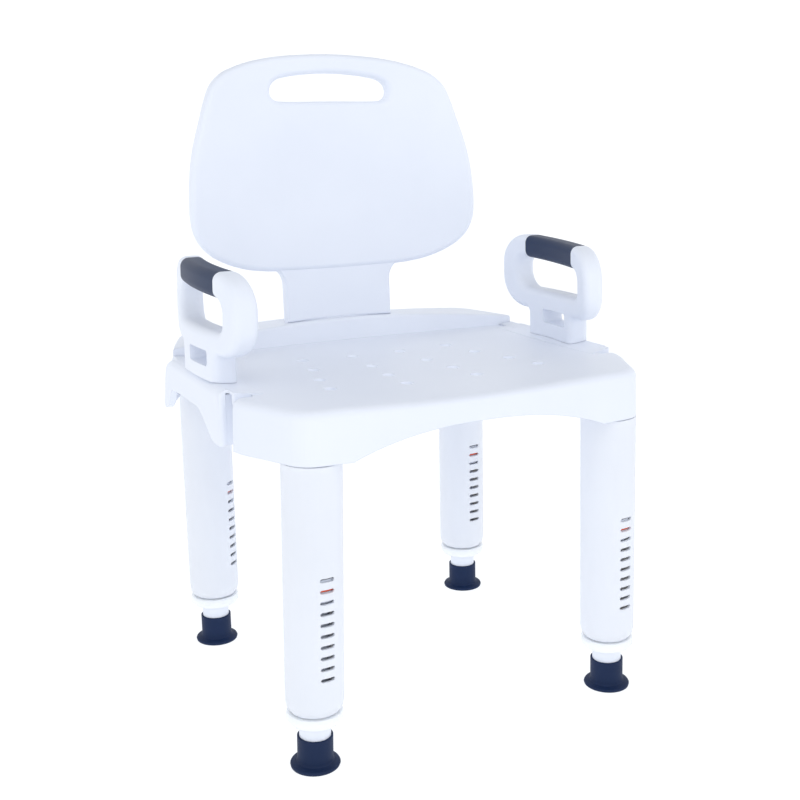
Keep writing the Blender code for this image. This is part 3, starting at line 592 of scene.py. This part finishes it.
def bend_back(ob, shift):
    """Slice a flat plate into columns, then wrap and tilt it."""
    bm = bmesh.new()
    bm.from_mesh(ob.data)
    for x in range(-200, 201, 10):
        bmesh.ops.bisect_plane(bm, geom=bm.verts[:] + bm.edges[:] + bm.faces[:], plane_co=(x * MM, 0, 0),
                               plane_no=(1, 0, 0))
    for v in bm.verts:
        x, z = v.co.x / MM, v.co.z / MM
        v.co.y += (back_front(x, z) + shift) * MM
    bm.to_mesh(ob.data)
    bm.free()
    return ob


def make_backrest():
    panel = rounded_plate("backrest", panel_outline(), [handle_outline()], [], "XZ", -BACK_T, 0, 8.0, 7)
    bend_back(panel, 0)
    post = rounded_plate("post", post_outline(), [], [], "XZ", -20.0, -3.0, 3.5, 5)
    bend_back(post, 0)
    boolean(panel, post, "UNION")
    tongue = box("tongue", -61, 61, 177.6, 191.4, 386.0, 446.0)
    rounded(tongue, 2.0, 3, 30)
    boolean(panel, tongue, "UNION")
    return panel


# ---------------------------------------------------------------- armrests
def arm_outline():
    """Side view (y, z) of loop and stem."""
    pts = [(-101, 540.8), (105, 550.8), (105, 449), (52.5, 449), (52.5, ARM_BASE), (-53.5, ARM_BASE), (-53.5, 449),
           (-101, 449)]
    return corner(pts, [44, 40, 42, 6, 0, 0, 6, 34], n=16)


def arm_opening():
    return corner([(-70, 512.7), (72, 519.6), (72, 477.5), (-70, 477.5)], [16, 14, 22, 10], n=12)


def arm_window():
    return corner([(-38, 435), (17, 435), (17, 453), (-38, 453)], [4, 4, 4, 4], n=8)


def arm_solid(name, inset, with_window, rho=10.0, segs=8):
    def keep(p, q):
        return (q[0], ARM_BASE) if p[1] < ARM_BASE + 0.01 else q
    outer, opening = inset_loop(arm_outline(), inset), inset_loop(arm_opening(), inset, True)
    outer = [keep(p, q) for p, q in zip(arm_outline(), outer)]
    return rounded_plate(name, outer, [opening], [arm_window()] if with_window else [], "YZ",
                         -ARM_T / 2 + inset, ARM_T / 2 - inset, rho - inset, segs, keep)


def grip_region(name, gap):
    """Block that marks off the covered part of the top bar."""
    g = gap
    return plate(name, [[(-57 - g, 575), (54 + g, 575), (54 + g, 500), (-57 - g, 500)]], "YZ", -40, 40)


def roof_height(x):
    return ROOF_Z + ROOF_SLOPE * (abs(x) - ROOF_X)


def place_arm(ob, sx):
    """Slice the flat loop along its length, bow it in plan, lean it and set its base on the bracket."""
    bm = bmesh.new()
    bm.from_mesh(ob.data)
    for y in range(-96, 102, 6):
        bmesh.ops.bisect_plane(bm, geom=bm.verts[:] + bm.edges[:] + bm.faces[:], plane_co=(0, y * MM, 0),
                               plane_no=(0, 1, 0))
    for v in bm.verts:
        x, y, z = (c / MM for c in v.co)
        x += sx * (ARM_X - ARM_LEAN * (z - ARM_BASE) - ARM_BOW * (y - ARM_BOW_Y) ** 2)
        if z < ARM_BASE + 0.01:
            z = roof_height(x) + 0.4
        v.co = (x * MM, y * MM, z * MM)
    bm.to_mesh(ob.data)
    bm.free()
    return ob


def make_armrest(side):
    sx = SIDES[side]
    arm = arm_solid("armrest_" + side, 0.0, True)
    whole = arm.copy()
    whole.data = arm.data.copy()
    chair.objects.link(whole)
    core = arm_solid("core", 2.8, False, segs=8)
    core_fit = arm_solid("core_fit", 2.5, False, segs=8)
    # cover of the top bar
    grip = grip_region("arm_grip_" + side, 0.0)
    boolean(grip, whole, "INTERSECT")
    boolean(grip, core_fit, "DIFFERENCE")
    # the bar under it
    shell = grip_region("shell", 0.3)
    boolean(shell, core, "DIFFERENCE")
    boolean(arm, shell, "DIFFERENCE")
    place_arm(arm, sx)
    place_arm(grip, sx)
    # spigot that drops into the bracket
    spigot = box("spigot", sx * ARM_X - 7.6, sx * ARM_X + 7.6, -37, 31, 387, ARM_BASE + 6)
    rounded(spigot, 1.6, 3, 30)
    boolean(arm, spigot, "UNION")
    return arm, grip


# ---------------------------------------------------------------- armrest brackets
def bracket_side():
    """Side view (y, z) of a bracket: two prongs joined over an arch."""
    return [(-111.5, 425), (103, 419), (111, 416.5), (117, 412.5), (128, 404.5), (133, 393.5), (139, 375.5), (146, 356),
            (143, 351.5), (138, 350.5), (131, 352.5), (120, 360), (111, 374.5), (106, 379.5), (100, 381.5), (-4, 381.5),
            (-12, 378.5), (-25, 371.8), (-44, 359.8), (-56, 353.8), (-62, 352.8), (-84, 352.8), (-87, 355), (-87, 398),
            (-89.5, 404), (-95, 407), (-111.5, 407)]


def bracket_section():
    """End view (x, z): a roof that thins to a tip over the deck and rounds over into the outer cheek."""
    return ([(214.6, 412.9), (216.6, 413.62), (218.6, roof_height(218.6)), (250.5, roof_height(250.5))]
            + arc(250.8, 407.7, 10.2, 80, 0, 14) + [(261.0, 345), (253.0, 345), (253.0, 413.8)])


def bracket_plan():
    """Top view (x, y)."""
    return ([(216, -110.9), (246.5, -106.0), (249.0, -104.6), (249.6, -102), (249.6, -91), (250.6, -88.4)]
            + arc(254.6, -80.8, 6.4, -90, 0, 12) + [(261.5, -80.8), (261.5, 150), (216, 150), (216, 126)])


def make_bracket(side):
    sx = SIDES[side]
    cheek = plate("arm_bracket_" + side, [bracket_section()], "XZ", -130, 160)
    boolean(cheek, plate("side_view", [bracket_side()], "YZ", 205, 275), "INTERSECT")
    boolean(cheek, plate("top_view", [bracket_plan()], "XY", 340, 430), "INTERSECT")
    # curved rear web that closes the end of the bracket
    web = [(90, 413.8), (90, 415.8), (103, 415.8), (111, 414.5), (117, 411.9), (127.6, 404.2), (132.5, 393.3), (136, 382),
           (132, 381), (128.4, 392), (124, 401), (113.5, 408.3), (104, 412.4)]
    boolean(cheek, plate("web", [web], "YZ", 231.0, 257.0), "UNION")
    # roof carried on over the rear web, up to the end of the shelf
    roof = [(232.3, 405.3), (232.3, roof_height(232.3) - 0.25), (249.5, roof_height(249.5) - 0.25), (251.6, 414.6),
            (251.6, 405.3)]
    boolean(cheek, plate("roof", [roof], "XZ", 98.7, 130.6), "UNION")
    # front flange of the front prong
    flange = [(233.0, -86.7), (255.7, -86.7), (255.7, -82.7), (233.0, -82.7)]
    boolean(cheek, plate("flange", [flange], "XY", 354.7, 412.1), "UNION")
    # front lip that closes the gap to the corner block
    lip = [(230.6, -108.6), (246.5, -106.0), (249.0, -104.6), (249.6, -102), (249.6, -99), (230.6, -103)]
    boolean(cheek, plate("lip", [lip], "XY", 403.5, 414.4), "UNION")
    boolean(cheek, box("socket", 230.4, 257.0, -64, 70, 386, roof_height(230.4) - 0.2), "UNION")
    boolean(cheek, box("socket_hole", ARM_X - 7.9, ARM_X + 7.9, -37.4, 31.4, 370, 440), "DIFFERENCE")
    for k, y in enumerate((-50, 56)):
        m = Matrix.Translation((226 * MM, y * MM, 396 * MM)) @ Matrix.Rotation(math.radians(90), 4, "Y")
        boolean(cheek, cylinder("thread%d" % k, 2.6, 0, 18, 24, m), "DIFFERENCE")
    if sx < 0:
        cheek.data.transform(Matrix.Diagonal((-1, 1, 1, 1)))
        cheek.data.flip_normals()
    return cheek


def make_bracket_screw(name, sx, y):
    m = Matrix.Translation((226 * sx * MM, y * MM, 396 * MM)) @ Matrix.Rotation(math.radians(90 * sx), 4, "Y")
    return turned(name, [(0, 16), (1.6, 16), (2.2, 15), (2.2, -0.4), (4.4, -0.5), (4.2, -2.2), (0, -3.4)],
                  32, m, closed=False)


# ---------------------------------------------------------------- materials
def plastic(name, low, high, rough, grain, bump, coat=0.0, speckle=0.0, transmission=0.0, depth=0.0, edge=0.0009,
            gloss_level=0.5):
    """Moulded surface: a slow drift between two tones, a fine grain, and uneven gloss."""
    mat = bpy.data.materials.new(name)
    mat.use_nodes = True
    nt = mat.node_tree
    bsdf = nt.nodes["Principled BSDF"]
    co = nt.nodes.new("ShaderNodeTexCoord")
    slow = nt.nodes.new("ShaderNodeTexNoise")
    slow.inputs["Scale"].default_value = 9.0
    slow.inputs["Detail"].default_value = 3.0
    fine = nt.nodes.new("ShaderNodeTexNoise")
    fine.inputs["Scale"].default_value = grain
    fine.inputs["Detail"].default_value = 2.0
    fine.inputs["Roughness"].default_value = 0.6
    for n in (slow, fine):
        nt.links.new(co.outputs["Object"], n.inputs["Vector"])
    blend = nt.nodes.new("ShaderNodeMath")
    blend.operation = "MULTIPLY_ADD"
    blend.inputs[1].default_value = 1.0 - speckle
    nt.links.new(slow.outputs["Fac"], blend.inputs[0])
    part = nt.nodes.new("ShaderNodeMath")
    part.operation = "MULTIPLY"
    part.inputs[1].default_value = speckle
    nt.links.new(fine.outputs["Fac"], part.inputs[0])
    nt.links.new(part.outputs[0], blend.inputs[2])
    ramp = nt.nodes.new("ShaderNodeValToRGB")
    ramp.color_ramp.elements[0].position = 0.32
    ramp.color_ramp.elements[0].color = (*low, 1.0)
    ramp.color_ramp.elements[1].position = 0.68
    ramp.color_ramp.elements[1].color = (*high, 1.0)
    nt.links.new(blend.outputs[0], ramp.inputs["Fac"])
    nt.links.new(ramp.outputs["Color"], bsdf.inputs["Base Color"])
    gloss = nt.nodes.new("ShaderNodeMapRange")
    gloss.inputs["To Min"].default_value = rough - 0.05
    gloss.inputs["To Max"].default_value = rough + 0.07
    nt.links.new(slow.outputs["Fac"], gloss.inputs["Value"])
    nt.links.new(gloss.outputs["Result"], bsdf.inputs["Roughness"])
    relief = nt.nodes.new("ShaderNodeBump")
    relief.inputs["Strength"].default_value = bump
    relief.inputs["Distance"].default_value = 0.0004
    nt.links.new(fine.outputs["Fac"], relief.inputs["Height"])
    nt.links.new(relief.outputs["Normal"], bsdf.inputs["Normal"])
    soft = nt.nodes.new("ShaderNodeBevel")       # moulded edges are never quite sharp
    soft.samples = 4
    soft.inputs["Radius"].default_value = edge
    nt.links.new(soft.outputs["Normal"], relief.inputs["Normal"])
    if coat:
        bsdf.inputs["Coat Weight"].default_value = coat
        bsdf.inputs["Coat Roughness"].default_value = 0.25
    if transmission:
        bsdf.inputs["Transmission Weight"].default_value = transmission
    if depth:                                 # light soaks through a thin wall
        bsdf.inputs["Subsurface Weight"].default_value = depth
        bsdf.inputs["Subsurface Radius"].default_value = (1.0, 0.95, 0.9)
        bsdf.inputs["Subsurface Scale"].default_value = 0.012
    bsdf.inputs["IOR"].default_value = 1.46
    bsdf.inputs["Specular IOR Level"].default_value = gloss_level
    return mat


WHITE_MAT = plastic("white_moulding", (0.800, 0.838, 0.928), (0.832, 0.868, 0.955), 0.42, 1500.0, 0.10, speckle=0.25)
TUBE_MAT = plastic("white_tube", (0.826, 0.858, 0.938), (0.854, 0.885, 0.964), 0.42, 1500.0, 0.10, speckle=0.25,
                   depth=0.25)
COLLAR_MAT = plastic("milky_collar", (0.90, 0.94, 0.99), (0.94, 0.97, 1.00), 0.28, 900.0, 0.05, speckle=0.2,
                     depth=0.4)
FOOT_MAT = plastic("navy_foot", (0.004, 0.015, 0.055), (0.007, 0.022, 0.075), 0.55, 1300.0, 0.30, speckle=0.4,
                   gloss_level=0.25)
GRIP_MAT = plastic("navy_grip", (0.012, 0.026, 0.072), (0.020, 0.038, 0.094), 0.46, 1700.0, 0.35, speckle=0.45,
                   gloss_level=0.35)
RED_MAT = plastic("red_band", (0.72, 0.085, 0.025), (0.82, 0.115, 0.035), 0.42, 900.0, 0.08, speckle=0.2)
PIN_MAT = plastic("grey_pin", (0.50, 0.53, 0.57), (0.58, 0.61, 0.65), 0.45, 1100.0, 0.12, speckle=0.3)


def steel(name):
    """Plain steel with fine turned streaks."""
    mat = plastic(name, (0.55, 0.56, 0.58), (0.66, 0.67, 0.69), 0.30, 2400.0, 0.12, speckle=0.6)
    mat.node_tree.nodes["Principled BSDF"].inputs["Metallic"].default_value = 1.0
    return mat


SCREW_MAT = steel("screw_steel_turned")


# ---------------------------------------------------------------- pieces
def put(ob, node, body, mat, angle=38.0):
    finish(ob, mat, angle)
    ob.name = node + "_surface"
    ob.data.name = ob.name
    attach(ob, body)
    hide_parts(node)
    return ob


put(make_seat(), "seat", "chair_frame", WHITE_MAT)
for leg in LEGS:
    outer, inner, band, ring, foot, pin = make_leg(leg)
    put(outer, "leg_tube_" + leg, "chair_frame", TUBE_MAT)
    put(inner, "leg_extension_" + leg, "sliding_leg_" + leg, WHITE_MAT)
    put(band, "height_indicator_" + leg, "sliding_leg_" + leg, RED_MAT)
    put(ring, "lock_collar_" + leg, "lock_collar_" + leg, COLLAR_MAT)
    put(foot, "foot_tip_" + leg, "sliding_leg_" + leg, FOOT_MAT)
    put(pin, "leg_pin_" + leg, "chair_frame", PIN_MAT)
put(make_backrest(), "backrest", "backrest", WHITE_MAT)
for side in SIDES:
    arm, grip = make_armrest(side)
    put(arm, "armrest_" + side, "armrest_" + side, WHITE_MAT)
    put(grip, "arm_grip_" + side, "armrest_" + side, GRIP_MAT)
    put(make_bracket(side), "arm_bracket_" + side, "chair_frame", WHITE_MAT)
    for end, y in (("front", -50), ("rear", 56)):
        name = "bracket_screw_%s_%s" % (end, side)
        put(make_bracket_screw("screw_" + name, SIDES[side], y), name, "chair_frame", SCREW_MAT)


# ---------------------------------------------------------------- stage, light and camera
def stage_material():
    mat = bpy.data.materials.new("stage_pale")
    mat.use_nodes = True
    nt = mat.node_tree
    bsdf = nt.nodes["Principled BSDF"]
    bsdf.inputs["Base Color"].default_value = (0.27, 0.27, 0.27, 1.0)
    bsdf.inputs["Roughness"].default_value = 0.9
    bsdf.inputs["Specular IOR Level"].default_value = 0.0
    bsdf.inputs["Emission Color"].default_value = (0.955, 0.975, 1.0, 1.0)
    bsdf.inputs["Emission Strength"].default_value = 0.88
    return mat


profile = [(0.0, 0.0), (3.2, 0.0)] + [(3.2 + 2.0 * math.sin(math.radians(a)), 2.0 - 2.0 * math.cos(math.radians(a)))
                                      for a in range(10, 91, 10)] + [(5.2, 4.5)]
mesh = bpy.data.meshes.new("stage_bowl")
mesh.from_pydata([(r, 0, z - 0.0004) for r, z in profile], [(i, i + 1) for i in range(len(profile) - 1)], [])
bowl = bpy.data.objects.new("stage_bowl", mesh)
bpy.context.scene.collection.objects.link(bowl)
turn = bowl.modifiers.new("turn", "SCREW")
turn.angle = 2 * math.pi
turn.steps = turn.render_steps = 96
turn.use_merge_vertices = True
turn.merge_threshold = 0.0001
mesh.materials.append(stage_material())

world = bpy.data.worlds.new("studio")
bpy.context.scene.world = world
world.use_nodes = True
world.node_tree.nodes["Background"].inputs["Color"].default_value = (0.955, 0.975, 1.0, 1.0)
world.node_tree.nodes["Background"].inputs["Strength"].default_value = 0.54


def area(name, where, at, size, power):
    light = bpy.data.lights.new(name, "AREA")
    light.shape = "RECTANGLE"
    light.size, light.size_y = size
    light.energy = power
    ob = bpy.data.objects.new(name, light)
    bpy.context.scene.collection.objects.link(ob)
    ob.location = where
    ob.rotation_mode = "QUATERNION"
    ob.rotation_quaternion = (Vector(where) - Vector(at)).to_track_quat("Z", "Y")
    return ob


area("key", (-1.2, -2.9, 1.5), (0, 0, 0.4), (2.4, 2.0), 0.6)
area("top", (-0.3, -1.5, 2.6), (0, 0.1, 0.42), (2.2, 1.6), 12.0)

cam_data = bpy.data.cameras.new("photo_angle")
cam_data.sensor_width = 36.0
cam_data.lens = 36.0 * 1128.7 / 800.0
cam_data.clip_start, cam_data.clip_end = 0.05, 60.0
cam = bpy.data.objects.new("photo_angle", cam_data)
bpy.context.scene.collection.objects.link(cam)
yaw, pitch, roll = 0.4609, 0.2364, -0.0154
ahead = Vector((math.sin(yaw) * math.cos(pitch), math.cos(yaw) * math.cos(pitch), -math.sin(pitch)))
right = Vector((math.cos(yaw), -math.sin(yaw), 0.0))
up = right.cross(ahead)
right2 = math.cos(roll) * right + math.sin(roll) * up
up2 = -math.sin(roll) * right + math.cos(roll) * up
rot = Matrix((right2, up2, -ahead)).transposed()
cam.matrix_world = Matrix.Translation((-0.6165, -1.2486, 0.6927)) @ rot.to_4x4()
bpy.context.scene.camera = cam

bpy.context.scene.view_settings.view_transform = "Standard"
bpy.context.scene.view_settings.look = "None"
